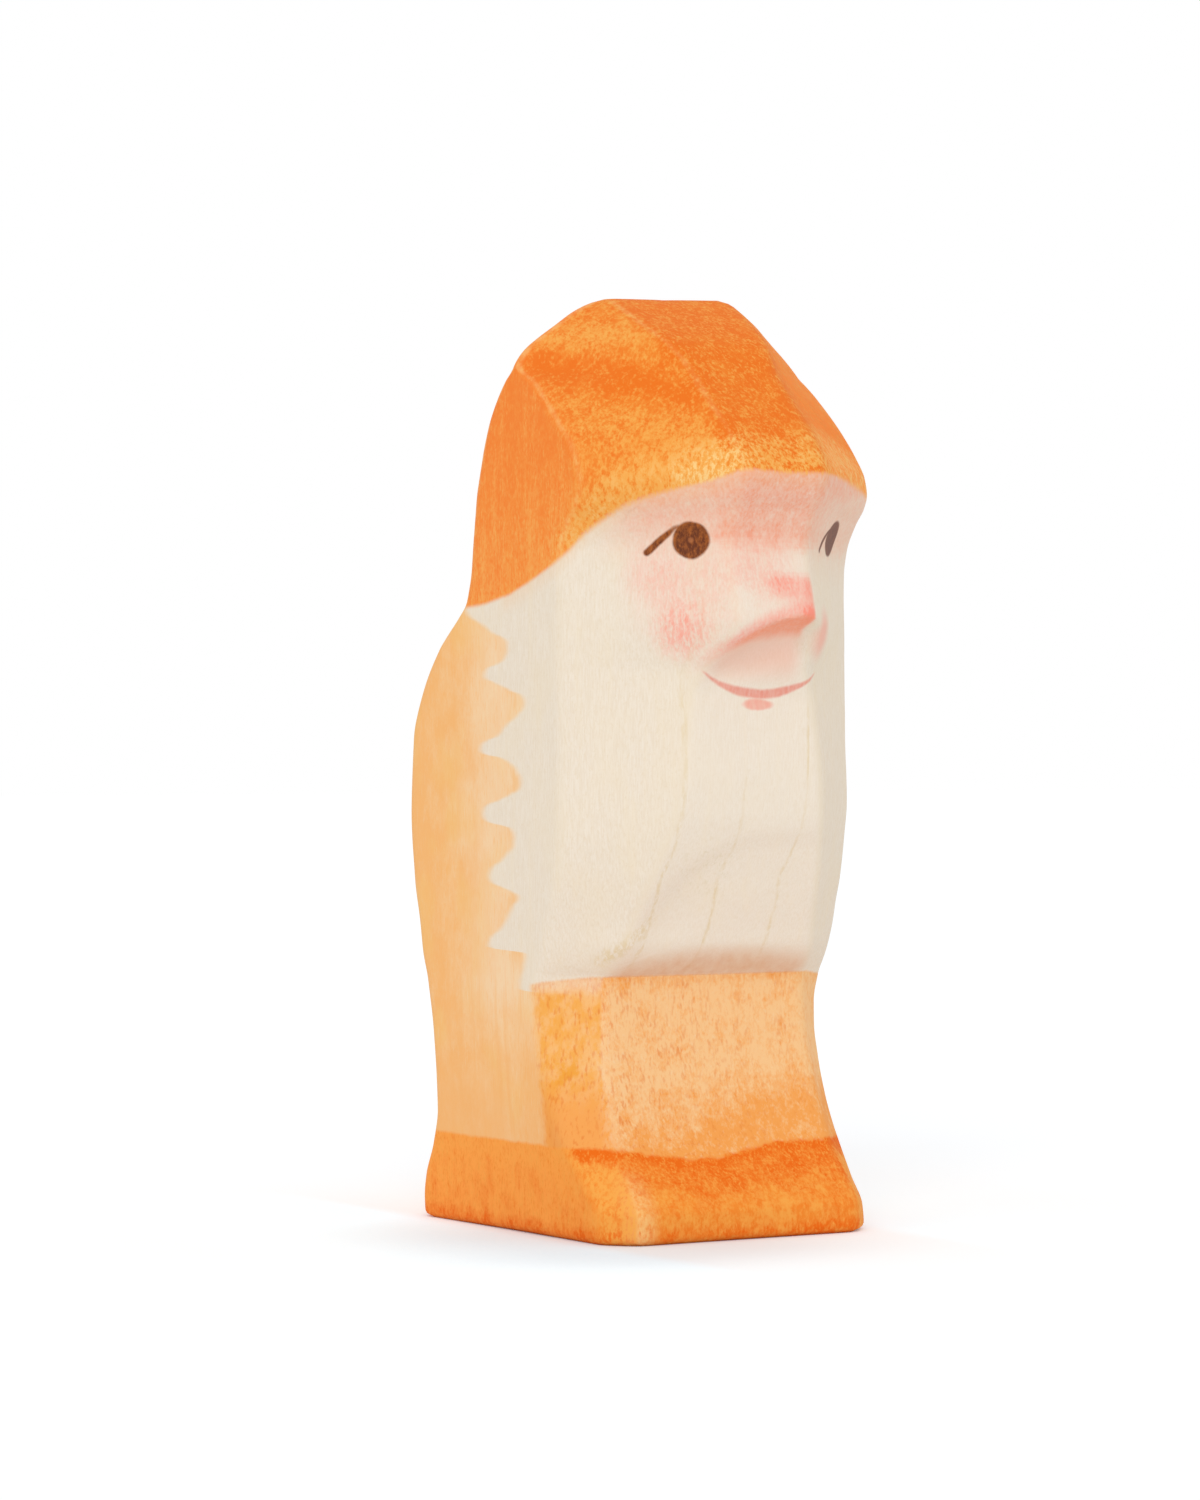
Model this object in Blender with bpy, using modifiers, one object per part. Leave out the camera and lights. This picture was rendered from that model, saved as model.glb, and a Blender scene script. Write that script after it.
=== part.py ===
# A small dwarf figure carved from one block of pale maple and stained in zones.
# The side outline is sawn, then the upright corners are pared to flat facets.
# Each zone of the block (hem, skirt, coat, beard, face, cap) is a solid of its own,
# parted from its neighbours by a hairline along the edge of the stain.
# Metres, +Z up. The figure faces -Y and rests on its flat underside at Z = 0.

import bisect
import math

import bmesh
import bpy

# Heights of the zones, one above the other from the ground up
HEM_HEIGHT = 0.0065
SKIRT_HEIGHT = 0.0120
BEARD_LENGTH = 0.0213
FACE_HEIGHT = 0.0164
CAP_HEIGHT = 0.0138

# Thickness of the block across the figure
BASE_WIDTH = 0.0236
HEAD_WIDTH = 0.0258
CROWN_WIDTH = 0.0116

# Depth of the sawn outline from brow to hump. The places below are shares of it.
DEPTH = 0.0369

# Front of the sawn outline, measured forward from the block's upright axis
BASE_FRONT = 0.398 * DEPTH
WAIST_FRONT = 0.225 * DEPTH
BEARD_TIP_FRONT = 0.276 * DEPTH
BEARD_FRONT = 0.407 * DEPTH
NOSE_FRONT = 0.504 * DEPTH
EYE_FRONT = 0.469 * DEPTH
BROW_FRONT = 0.534 * DEPTH
CROWN_FRONT = 0.092 * DEPTH

# Back edge of the flat flanks, measured backward from the same axis
BASE_BACK = 0.355 * DEPTH
WAIST_BACK = 0.279 * DEPTH
HUMP_BACK = 0.369 * DEPTH
NECK_BACK = 0.133 * DEPTH
CROWN_BACK = -0.065 * DEPTH

# Front edge of the flat flanks, where the front facets begin
BASE_CHEEK = 0.339 * DEPTH
WAIST_CHEEK = 0.125 * DEPTH
BEARD_CHEEK = 0.233 * DEPTH
BROW_CHEEK = 0.301 * DEPTH
TEMPLE_CHEEK = 0.073 * DEPTH

# Width of the front face left between the two front facets
BASE_FRONT_FACE = 0.0196
WAIST_FRONT_FACE = 0.0178
BEARD_FRONT_FACE = 0.0111
BROW_FRONT_FACE = 0.0076
CROWN_FRONT_FACE = 0.0100

# Facets pared off the two upright corners at the back
BASE_BACK_FACET = 0.0022
COAT_BACK_FACET = 0.0036
CAP_BACK_FACET = 0.0045
CROWN_BACK_FACET = 0.0010

# Places along the height, measured up from the bottom of their own zones
FOOT_RISE = 0.0020
UNDERCUT_RISE = 0.0026
HUMP_RISE = 0.0125
NOSE_RISE = 0.0055
EYE_RISE = 0.0115
NECK_RISE = 0.0075
TEMPLE_RISE = 0.0086

# The hollow under the nose runs down this far from its tip
NOSE_UNDERCUT = 0.0020

# The zigzag where the coat's stain meets the beard: its notches reach behind the axis
# and its teeth in front of it
NOTCH_COUNT = 6
NOTCH_BACK = 0.062 * DEPTH
TOOTH_FRONT = 0.089 * DEPTH

# The skirt's own stain begins this far in front of the axis
SKIRT_EDGE = 0.114 * DEPTH

# Making
HAIRLINE = 0.0003
EDGE_ROUND = 0.0006
LEVEL_STEP = 0.0014
LEAST_FLAT = 0.0004
CUTTER_MARGIN = 0.0050

# Heights of the zones' borders above the ground
HEM_TOP = HEM_HEIGHT
BEARD_BOTTOM = HEM_TOP + SKIRT_HEIGHT
LIP = BEARD_BOTTOM + BEARD_LENGTH
BROW = LIP + FACE_HEIGHT
CROWN = BROW + CAP_HEIGHT
NOSE = LIP + NOSE_RISE
EYE = LIP + EYE_RISE
NECK = LIP + NECK_RISE
TEMPLE = BROW + TEMPLE_RISE

# The origin lies under the middle of the figure's whole depth, so the axis is off it
AXIS = (BROW_FRONT - HUMP_BACK - COAT_BACK_FACET) / 2


def between(low, high, share):
    return low + (high - low) * share


def smooth_line(points):
    """A curve through (place, size) points that never swings past them."""
    places = [p[0] for p in points]
    sizes = [p[1] for p in points]
    steps = [b - a for a, b in zip(places, places[1:])]
    slopes = [(b - a) / s for a, b, s in zip(sizes, sizes[1:], steps)]
    tangents = [slopes[0]]
    for before, after in zip(slopes, slopes[1:]):
        turning = before * after <= 0
        tangents.append(0.0 if turning else 2 * before * after / (before + after))
    tangents.append(slopes[-1])

    def size_at(place):
        i = min(max(bisect.bisect_right(places, place) - 1, 0), len(steps) - 1)
        s = steps[i]
        t = min(max((place - places[i]) / s, 0.0), 1.0)
        return (
            (1 + 2 * t) * (1 - t) ** 2 * sizes[i]
            + t * (1 - t) ** 2 * s * tangents[i]
            + t * t * (3 - 2 * t) * sizes[i + 1]
            + t * t * (t - 1) * s * tangents[i + 1]
        )

    return size_at


# The front of the outline, from the foot up: flared hem, waist, overhanging beard,
# lip, nose with its undercut, hollow under the brow, then the cap's slope
front_points = [
    (0, BASE_FRONT),
    (FOOT_RISE, BASE_FRONT),
    (between(FOOT_RISE, HEM_TOP, 0.45), between(WAIST_FRONT, BASE_FRONT, 0.80)),
    (HEM_TOP, between(WAIST_FRONT, BASE_FRONT, 0.45)),
    (between(HEM_TOP, BEARD_BOTTOM, 0.30), between(WAIST_FRONT, BASE_FRONT, 0.22)),
    (between(HEM_TOP, BEARD_BOTTOM, 0.70), between(WAIST_FRONT, BASE_FRONT, 0.05)),
    (BEARD_BOTTOM, WAIST_FRONT),
    (BEARD_BOTTOM + UNDERCUT_RISE, BEARD_TIP_FRONT),
    (between(BEARD_BOTTOM, LIP, 0.30), between(BEARD_TIP_FRONT, BEARD_FRONT, 0.38)),
    (between(BEARD_BOTTOM, LIP, 0.54), between(BEARD_TIP_FRONT, BEARD_FRONT, 0.77)),
    (between(BEARD_BOTTOM, LIP, 0.78), BEARD_FRONT),
    (LIP, BEARD_FRONT),
    (NOSE - NOSE_UNDERCUT, between(BEARD_FRONT, NOSE_FRONT, 0.30)),
    (NOSE, NOSE_FRONT),
    (between(NOSE, EYE, 0.60), between(NOSE_FRONT, EYE_FRONT, 0.70)),
    (EYE, EYE_FRONT),
    (between(EYE, BROW, 0.70), between(EYE_FRONT, BROW_FRONT, 0.70)),
    (BROW, BROW_FRONT),
    (between(BROW, CROWN, 0.22), between(BROW_FRONT, CROWN_FRONT, 0.13)),
    (between(BROW, CROWN, 0.54), between(BROW_FRONT, CROWN_FRONT, 0.42)),
    (between(BROW, CROWN, 0.82), between(BROW_FRONT, CROWN_FRONT, 0.71)),
    (CROWN, CROWN_FRONT),
]

# The front edge of the flanks
cheek_points = [
    (0, BASE_CHEEK),
    (FOOT_RISE, BASE_CHEEK),
    (HEM_TOP, between(WAIST_CHEEK, BASE_CHEEK, 0.50)),
    (between(HEM_TOP, BEARD_BOTTOM, 0.40), between(WAIST_CHEEK, BASE_CHEEK, 0.20)),
    (between(HEM_TOP, BEARD_BOTTOM, 0.90), WAIST_CHEEK),
    (between(BEARD_BOTTOM, LIP, 0.20), between(WAIST_CHEEK, BEARD_CHEEK, 0.52)),
    (between(BEARD_BOTTOM, LIP, 0.50), BEARD_CHEEK),
    (EYE, BEARD_CHEEK),
    (BROW, BROW_CHEEK),
    (between(BROW, TEMPLE, 0.40), between(BROW_CHEEK, TEMPLE_CHEEK, 0.22)),
    (TEMPLE, TEMPLE_CHEEK),
    (CROWN, between(TEMPLE_CHEEK, CROWN_FRONT, 0.50)),
]

# The back edge of the flanks: foot, waist, round back, neck and the back of the cap
back_points = [
    (0, BASE_BACK),
    (FOOT_RISE, BASE_BACK),
    (HEM_TOP, between(WAIST_BACK, BASE_BACK, 0.28)),
    (between(HEM_TOP, BEARD_BOTTOM, 0.50), WAIST_BACK),
    (BEARD_BOTTOM, between(WAIST_BACK, HUMP_BACK, 0.22)),
    (BEARD_BOTTOM + HUMP_RISE, HUMP_BACK),
    (LIP, between(NECK_BACK, HUMP_BACK, 0.82)),
    (between(LIP, NECK, 0.55), between(NECK_BACK, HUMP_BACK, 0.47)),
    (NECK, NECK_BACK),
    (BROW, between(CROWN_BACK, NECK_BACK, 0.76)),
    (between(BROW, TEMPLE, 0.50), between(CROWN_BACK, NECK_BACK, 0.56)),
    (TEMPLE, CROWN_BACK),
    (CROWN, CROWN_BACK),
]

width_points = [
    (0, BASE_WIDTH),
    (BEARD_BOTTOM, between(BASE_WIDTH, HEAD_WIDTH, 0.80)),
    (BROW, HEAD_WIDTH),
    (TEMPLE, HEAD_WIDTH),
    (between(TEMPLE, CROWN, 0.45), between(HEAD_WIDTH, CROWN_WIDTH, 0.31)),
    (CROWN, CROWN_WIDTH),
]

front_face_points = [
    (0, BASE_FRONT_FACE),
    (BEARD_BOTTOM, WAIST_FRONT_FACE),
    (between(BEARD_BOTTOM, LIP, 0.60), between(WAIST_FRONT_FACE, BEARD_FRONT_FACE, 0.75)),
    (LIP, BEARD_FRONT_FACE),
    (NOSE, BROW_FRONT_FACE),
    (between(BROW, CROWN, 0.55), BROW_FRONT_FACE),
    (CROWN, CROWN_FRONT_FACE),
]

back_facet_points = [
    (0, BASE_BACK_FACET),
    (BEARD_BOTTOM, COAT_BACK_FACET),
    (LIP, COAT_BACK_FACET),
    (BROW, CAP_BACK_FACET),
    (between(BROW, TEMPLE, 0.50), CAP_BACK_FACET),
    (between(BROW, TEMPLE, 0.68), between(CROWN_BACK_FACET, CAP_BACK_FACET, 1.09)),
    (between(BROW, TEMPLE, 0.85), between(CROWN_BACK_FACET, CAP_BACK_FACET, 1.28)),
    (TEMPLE, between(CROWN_BACK_FACET, CAP_BACK_FACET, 1.20)),
    (between(TEMPLE, CROWN, 0.27), between(CROWN_BACK_FACET, CAP_BACK_FACET, 0.88)),
    (between(TEMPLE, CROWN, 0.50), between(CROWN_BACK_FACET, CAP_BACK_FACET, 0.60)),
    (CROWN, CROWN_BACK_FACET),
]

front_line = smooth_line(front_points)
cheek_line = smooth_line(cheek_points)
back_line = smooth_line(back_points)
width_line = smooth_line(width_points)
front_face_line = smooth_line(front_face_points)
back_facet_line = smooth_line(back_facet_points)

# Height of the cap's rim at a depth in front of the axis. It hangs to the neck at the
# back, climbs along the temples and crosses just above the brow.
rim_line = smooth_line([
    (0, NECK),
    (0.23 * BROW_FRONT, between(NECK, BROW, 0.16)),
    (0.56 * BROW_FRONT, between(NECK, BROW, 0.43)),
    (0.63 * BROW_FRONT, between(NECK, BROW, 0.62)),
    (0.72 * BROW_FRONT, between(NECK, BROW, 0.77)),
    (0.91 * BROW_FRONT, between(NECK, BROW, 0.92)),
    (BROW_FRONT, BROW),
])


def rounded(corners, radius):
    """The open outline with each inner corner worn round by three points."""
    outline = [corners[0]]
    for before, corner, after in zip(corners, corners[1:], corners[2:]):
        reach = min(radius, 0.4 * math.dist(before, corner), 0.4 * math.dist(corner, after))
        ends = []
        for other in (before, after):
            share = reach / math.dist(corner, other)
            ends.append([between(c, o, share) for c, o in zip(corner, other)])
        outline.append(ends[0])
        outline.append([(a + 2 * c + b) / 4 for a, c, b in zip(ends[0], corner, ends[1])])
        outline.append(ends[1])
    return outline + [corners[-1]]


def half_section(height, inset):
    """The +X half of the block's plan at a height, from the front round to the back."""
    front = front_line(height)
    half_width = width_line(height) / 2
    half_face = min(front_face_line(height) / 2, half_width - LEAST_FLAT)
    cheek = min(cheek_line(height), front - LEAST_FLAT)
    back = max(back_line(height), LEAST_FLAT - cheek)
    facet = min(back_facet_line(height), half_width - LEAST_FLAT)
    corners = [
        (0.0, AXIS - front + inset),
        (half_face, AXIS - front + inset),
        (half_width - inset, AXIS - cheek),
        (half_width - inset, AXIS + back),
        (half_width - facet, AXIS + back + facet - inset),
        (0.0, AXIS + back + facet - inset),
    ]
    return rounded(corners, EDGE_ROUND)


def block_levels():
    """Heights of the sections, with the inset that wears the two end edges round."""
    lines = (front_points, cheek_points, back_points, width_points, front_face_points)
    marks = sorted({round(height, 6) for points in lines for height, _ in points})
    heights = []
    for low, high in zip(marks, marks[1:]):
        count = math.ceil((high - low) / LEVEL_STEP)
        heights += [between(low, high, i / count) for i in range(count)]
    worn = EDGE_ROUND * (1 - math.sqrt(0.5))
    bottom = [(0.0, EDGE_ROUND), (worn, worn), (EDGE_ROUND, 0.0)]
    levels = list(bottom)
    for height in heights:
        clear = height - levels[-1][0] > EDGE_ROUND / 2
        if clear and height < CROWN - 1.5 * EDGE_ROUND:
            levels.append((height, 0.0))
    return levels + [(CROWN - height, inset) for height, inset in reversed(bottom)]


def block_mesh():
    """The +X half of the carved block, lofted through its sections, open at X = 0."""
    bm = bmesh.new()
    rings = []
    for height, inset in block_levels():
        rings.append([bm.verts.new((x, y, height)) for x, y in half_section(height, inset)])
    for low, high in zip(rings, rings[1:]):
        for i in range(len(low) - 1):
            bm.faces.new((low[i], low[i + 1], high[i + 1], high[i]))
    bm.faces.new(list(reversed(rings[0])))
    bm.faces.new(rings[-1])
    bmesh.ops.triangulate(bm, faces=bm.faces[:])
    mesh = bpy.data.meshes.new("carved_block")
    bm.to_mesh(mesh)
    bm.free()
    return mesh


# Limits of the cutters, clear of the block all round
AHEAD = AXIS - BROW_FRONT - CUTTER_MARGIN
BEHIND = AXIS + HUMP_BACK + COAT_BACK_FACET + CUTTER_MARGIN
ABOVE = CROWN + CUTTER_MARGIN
BELOW = -CUTTER_MARGIN


def rim_points(rise):
    """The cap's rim in side view, from behind the head to before the brow."""
    samples = 12
    depths = [BROW_FRONT * i / samples for i in range(samples + 1)]
    rim = [(AXIS - depth, rim_line(depth) + rise) for depth in depths]
    return [(BEHIND, NECK + rise)] + rim + [(AHEAD, BROW + rise)]


def zigzag_points(shift, low, high):
    """The edge between coat and beard in side view, from high down to low."""
    half_pitch = (NECK - BEARD_BOTTOM) / (2 * NOTCH_COUNT - 1)
    corners = []
    for i in range(2 * NOTCH_COUNT):
        depth = -NOTCH_BACK if i % 2 == 0 else TOOTH_FRONT
        corners.append((AXIS - depth + shift, NECK - i * half_pitch))

    def at(height):
        i = min(max(int((NECK - height) / half_pitch), 0), len(corners) - 2)
        (y0, z0), (y1, z1) = corners[i], corners[i + 1]
        return (between(y0, y1, (z0 - height) / (z0 - z1)), height)

    inner = [c for c in corners if low < c[1] < high]
    return [at(high)] + inner + [at(low)]


def cutter(name, outline, collection):
    """A prism across the whole block with the given outline in side view."""
    curve = bpy.data.curves.new(name, "CURVE")
    curve.dimensions = "2D"
    curve.fill_mode = "BOTH"
    curve.extrude = HEAD_WIDTH / 2 + CUTTER_MARGIN
    spline = curve.splines.new("POLY")
    spline.points.add(len(outline) - 1)
    for point, (y, z) in zip(spline.points, outline):
        point.co = (y, z, 0.0, 1.0)
    spline.use_cyclic_u = True
    drawn = bpy.data.objects.new(name + "_curve", curve)
    # Local X, Y and Z become world Y, Z and X
    drawn.rotation_euler = (math.radians(90), 0.0, math.radians(90))
    bpy.context.scene.collection.objects.link(drawn)
    bpy.context.view_layer.update()
    graph = bpy.context.evaluated_depsgraph_get()
    mesh = bpy.data.meshes.new_from_object(drawn.evaluated_get(graph))
    bm = bmesh.new()
    bm.from_mesh(mesh)
    bmesh.ops.remove_doubles(bm, verts=bm.verts[:], dist=1e-6)
    bmesh.ops.recalc_face_normals(bm, faces=bm.faces[:])
    bm.to_mesh(mesh)
    bm.free()
    prism = bpy.data.objects.new(name, mesh)
    prism.matrix_world = drawn.matrix_world.copy()
    prism.hide_render = True
    prism.display_type = "WIRE"
    collection.objects.link(prism)
    bpy.data.objects.remove(drawn)
    return prism


def finish(name, colour, roughness):
    material = bpy.data.materials.new(name)
    material.use_nodes = True
    shader = material.node_tree.nodes["Principled BSDF"]
    shader.inputs["Base Color"].default_value = (*colour, 1.0)
    shader.inputs["Roughness"].default_value = roughness
    shader.inputs["Metallic"].default_value = 0.0
    return material


def zone(name, outline, material, figure, cutters):
    """One stained zone: the part of the block inside the outline in side view."""
    piece = bpy.data.objects.new(name, block_mesh())
    piece.data.materials.append(material)
    mirror = piece.modifiers.new("far half", "MIRROR")
    mirror.merge_threshold = 0.00001
    cut = piece.modifiers.new("zone", "BOOLEAN")
    cut.operation = "INTERSECT"
    cut.object = cutter(name + "_zone", outline, cutters)
    figure.objects.link(piece)
    return piece


def make_hem(figure, cutters):
    outline = [
        (BEHIND, BELOW),
        (BEHIND, HEM_TOP - HAIRLINE / 2),
        (AHEAD, HEM_TOP - HAIRLINE / 2),
        (AHEAD, BELOW),
    ]
    zone("hem_band", outline, finish("deep_orange_stain", (0.89, 0.24, 0.035), 0.55), figure, cutters)


def make_skirt(figure, cutters):
    edge = AXIS - SKIRT_EDGE - HAIRLINE / 2
    low, high = HEM_TOP + HAIRLINE / 2, BEARD_BOTTOM - HAIRLINE / 2
    outline = [(edge, low), (edge, high), (AHEAD, high), (AHEAD, low)]
    zone("skirt", outline, finish("skirt_stain", (0.93, 0.51, 0.21), 0.55), figure, cutters)


def make_coat(figure, cutters):
    edge = AXIS - SKIRT_EDGE + HAIRLINE / 2
    low, high = HEM_TOP + HAIRLINE / 2, NECK - HAIRLINE / 2
    shelf = BEARD_BOTTOM - HAIRLINE / 2
    zigzag = zigzag_points(HAIRLINE, shelf, high)
    outline = [(BEHIND, low), (BEHIND, high)] + zigzag + [(edge, shelf), (edge, low)]
    zone("coat", outline, finish("light_orange_stain", (0.90, 0.52, 0.22), 0.55), figure, cutters)


def make_beard(figure, cutters):
    low, high = BEARD_BOTTOM + HAIRLINE / 2, LIP - HAIRLINE / 2
    outline = zigzag_points(-HAIRLINE, low, high) + [(AHEAD, low), (AHEAD, high)]
    zone("beard", outline, finish("bare_maple", (0.86, 0.75, 0.60), 0.55), figure, cutters)


def make_face(figure, cutters):
    low, high = LIP + HAIRLINE / 2, NECK - HAIRLINE / 2
    zigzag = zigzag_points(-HAIRLINE, low, high)
    rim = [p for p in rim_points(-HAIRLINE / 2) if p[0] < zigzag[0][0] - LEAST_FLAT]
    outline = zigzag + [(AHEAD, low)] + rim[::-1]
    zone("face", outline, finish("pink_washed_maple", (0.90, 0.61, 0.49), 0.55), figure, cutters)


def make_cap(figure, cutters):
    outline = rim_points(HAIRLINE / 2) + [(AHEAD, ABOVE), (BEHIND, ABOVE)]
    zone("cap", outline, finish("orange_stain", (0.92, 0.31, 0.05), 0.55), figure, cutters)


def main():
    for obj in list(bpy.data.objects):
        bpy.data.objects.remove(obj)
    figure = bpy.data.collections.new("wooden_dwarf_figure")
    cutters = bpy.data.collections.new("cutters")
    for collection in (figure, cutters):
        bpy.context.scene.collection.children.link(collection)
    make_hem(figure, cutters)
    make_skirt(figure, cutters)
    make_coat(figure, cutters)
    make_beard(figure, cutters)
    make_face(figure, cutters)
    make_cap(figure, cutters)


main()
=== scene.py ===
import bisect
import math

import bpy
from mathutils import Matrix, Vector, noise


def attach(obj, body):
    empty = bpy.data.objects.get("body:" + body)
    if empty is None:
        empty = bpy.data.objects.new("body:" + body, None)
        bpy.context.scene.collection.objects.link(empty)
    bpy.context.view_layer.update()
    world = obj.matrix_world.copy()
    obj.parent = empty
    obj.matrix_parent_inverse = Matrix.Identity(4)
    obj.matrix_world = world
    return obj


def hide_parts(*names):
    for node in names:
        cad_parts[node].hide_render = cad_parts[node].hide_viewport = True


# A small dwarf figure, sawn and carved from one block of pale maple, then stained by hand.
# Shapes are given in millimetres: forward and back are measured from the block's upright axis,
# heights from the ground. The figure looks along -Y.

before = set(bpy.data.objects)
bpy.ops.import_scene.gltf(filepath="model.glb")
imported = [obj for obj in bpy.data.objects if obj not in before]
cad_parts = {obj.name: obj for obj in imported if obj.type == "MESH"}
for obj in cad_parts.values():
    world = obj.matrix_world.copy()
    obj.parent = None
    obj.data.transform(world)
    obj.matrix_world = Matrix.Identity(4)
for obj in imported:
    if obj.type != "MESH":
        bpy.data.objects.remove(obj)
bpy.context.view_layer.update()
print("frame loaded")

mm = 0.001
axisY = 1.25  # the block's axis, behind the middle of its depth


# the camera stands level, at half the figure's height
camera = {"place": (-190.97, -295.79, 36.09), "turn": -32.2, "lens": 138.7}

bpy.ops.object.select_all(action="DESELECT")
bpy.ops.object.camera_add(
    location=[v * mm for v in camera["place"]],
    rotation=(math.radians(90), 0, math.radians(camera["turn"])),
)
cameraObject = bpy.context.object
cameraObject.name = "photoCamera"
cameraObject.data.lens = camera["lens"]
cameraObject.data.sensor_width = 36
cameraObject.data.sensor_fit = "HORIZONTAL"
cameraObject.data.clip_start = 0.01
bpy.context.scene.camera = cameraObject
print("camera placed")


# the block's own lines, read upward
block = {
    # height, then how far the front stands forward of the axis
    "front": [
        (0, 14.7), (2.0, 14.7), (4.0, 13.4), (6.5, 11.15), (10.1, 9.7), (14.9, 8.6), (18.6, 8.3),
        (19.25, 8.3), (19.7, 8.8), (20.3, 9.45), (20.9, 10.0), (21.6, 10.5), (23, 11.05),
        (26, 12.5), (29.3, 13.9), (31.5, 14.6), (35.1, 15.0), (39.8, 15.0), (41.6, 15.5), (43.2, 16.8),
        (44.6, 18.1), (45.6, 18.5), (47.2, 18.2), (48.9, 17.7), (51.3, 17.3), (53.4, 18.0),
        (54.9, 19.1), (56.3, 19.7), (57.4, 19.1), (59.3, 17.5), (61.9, 14.7), (63.7, 12.8),
        (66.1, 10.4), (67.4, 8.3), (70, 3.4),
    ],
    # front edge of the flat flanks, forward of the axis
    "cheek": [
        (0, 12.5), (1.9, 12.45), (3.9, 11.1), (6.0, 9.2), (7.1, 8.3), (9.3, 6.9), (11.5, 5.9),
        (16, 4.8), (18.4, 5.0), (20.7, 5.9), (23, 6.7), (25.4, 7.6), (27.7, 8.3), (30, 8.6),
        (50.6, 8.5), (52.8, 9.6), (54.0, 10.7), (55.5, 11.25), (57, 10.9), (58.5, 10.0),
        (61, 7.45), (63.2, 5.0), (64.8, 2.6), (70, 3.0),
    ],
    # the same edge on the far flank, which is pared a little differently
    "farCheek": [
        (0, 12.5), (1.9, 12.1), (3.7, 10.6), (5.5, 9.3), (7.4, 7.95), (9.2, 6.85), (11.1, 6.0),
        (13, 5.35), (14.9, 4.8), (16.8, 4.65), (18.8, 5.2), (20.7, 6.2), (22.7, 7.0), (24.6, 7.55),
        (26.5, 8.1), (28.5, 8.4), (32, 8.8), (38, 8.6), (49.4, 8.35), (51.3, 8.75), (53.2, 9.95),
        (54.3, 11.0), (55.3, 11.4), (56.6, 11.1), (58.2, 9.95), (59.8, 8.55), (61.4, 6.85),
        (63.1, 4.75), (64.0, 3.6), (64.8, 3.0), (70, 3.0),
    ],
    # back edge of the flanks, behind the axis
    "back": [
        (0, 13.1), (1.4, 13.1), (3.2, 12.75), (5.7, 11.45), (8.5, 10.5), (13, 10.4), (18.4, 11.1),
        (20.5, 11.8), (23, 12.35), (26, 13.1), (31, 13.6), (36.9, 13.1), (39.2, 12.3), (41.5, 11.0),
        (43.75, 9.1), (44.9, 7.7), (46, 6.3), (47.3, 5.0), (51.6, 4.0), (55, 3.4), (58.3, 2.5),
        (60.5, 1.7), (61.8, 0.9), (63.75, -0.8), (64.8, -2.1), (70, -2.4),
    ],
    # from the middle to the near flank, then to the far one
    "halfWidth": [
        (0, 11.8), (18.5, 12.65), (56.2, 12.9), (64.6, 12.85), (65.2, 12.6), (66, 12.0),
        (67.1, 10.7), (68.2, 9.1), (69, 7.9), (70, 5.8),
    ],
    "farWidth": [
        (0, 11.9), (18.5, 12.75), (56.2, 13.0), (63.5, 12.95), (64.1, 12.8), (64.7, 12.35),
        (65.4, 11.65), (66.1, 10.85), (66.8, 9.95), (67.5, 9.1), (68.15, 8.35), (68.9, 7.3),
        (70, 5.6),
    ],
    # from the middle to the front face's near edge, then to its far one
    "halfFront": [
        (0, 9.8), (18.5, 8.9), (24, 8.0), (31.3, 6.5), (39.8, 5.55), (42.5, 4.6), (45.3, 3.8),
        (63.8, 3.8), (66.1, 4.4), (67.4, 4.9), (70, 5.3),
    ],
    "farFront": [
        (0, 9.8), (18.5, 8.9), (24, 8.0), (31.3, 6.5), (39.8, 5.3), (42.5, 4.1), (45.3, 3.2),
        (56, 3.2), (60, 3.6), (63.8, 3.8), (66.1, 4.4), (67.4, 4.9), (70, 5.3),
    ],
    # how deep the back corners are pared off
    "backFacet": [
        (0, 2.2), (18.5, 3.6), (39.8, 3.6), (56.2, 4.5), (60.5, 4.4), (62.8, 4.3), (63.5, 4.42),
        (64.2, 4.75), (64.75, 4.9), (65.5, 4.4), (67.4, 2.98), (70, 1.0),
    ],
    "height": 70.0,
    "levels": 280,
    "cornerRound": 0.85,  # the facets' edges, taken off with fine paper
    "endRound": 0.62,  # the same at the ground and the crown
    "narrowest": 0.4,  # no face of the plan gets narrower
    "roundShare": 0.42,  # and no corner takes more of a face
    "crownTilt": 0.036,  # the flat top rises a little towards the figure's left
    "crownHalf": 5.8,
    "tiltFrom": 64,
    "gougeFrom": 8,  # the gouge cuts only what lies further forward of the axis
    "hand": 0.09,  # unevenness left by the knife
    "handScales": (0.13, 0.42),
    "rippleShare": 0.35,
    "handFade": 3,  # it begins above the ground
    "handSeed": 7,  # keeps that unevenness the same each time
    # points along half the outline: front, corner, facet, corner, flank, corner, back facet,
    # corner, back
    "pointsAlong": (8, 6, 20, 6, 40, 6, 7, 6, 14),
}

# the heights and edges at which the block is divided
zones = {
    "hemTop": 6.5,
    "beardBottom": 18.5,
    "lip": 39.8,
    "neck": 47.3,
    "skirtEdge": 4.2,  # forward of the axis
    "notchBack": 2.3,
    "toothFront": 3.3,
    "notches": 6,
    "smoothAngle": 40,
    # the cap's rim on a side view: forward of the axis, height
    "rim": [
        (0, 47.3), (4.53, 48.72), (11.03, 51.13), (12.41, 52.82), (14.18, 54.15), (17.93, 55.49),
        (19.7, 56.2),
    ],
}


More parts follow.
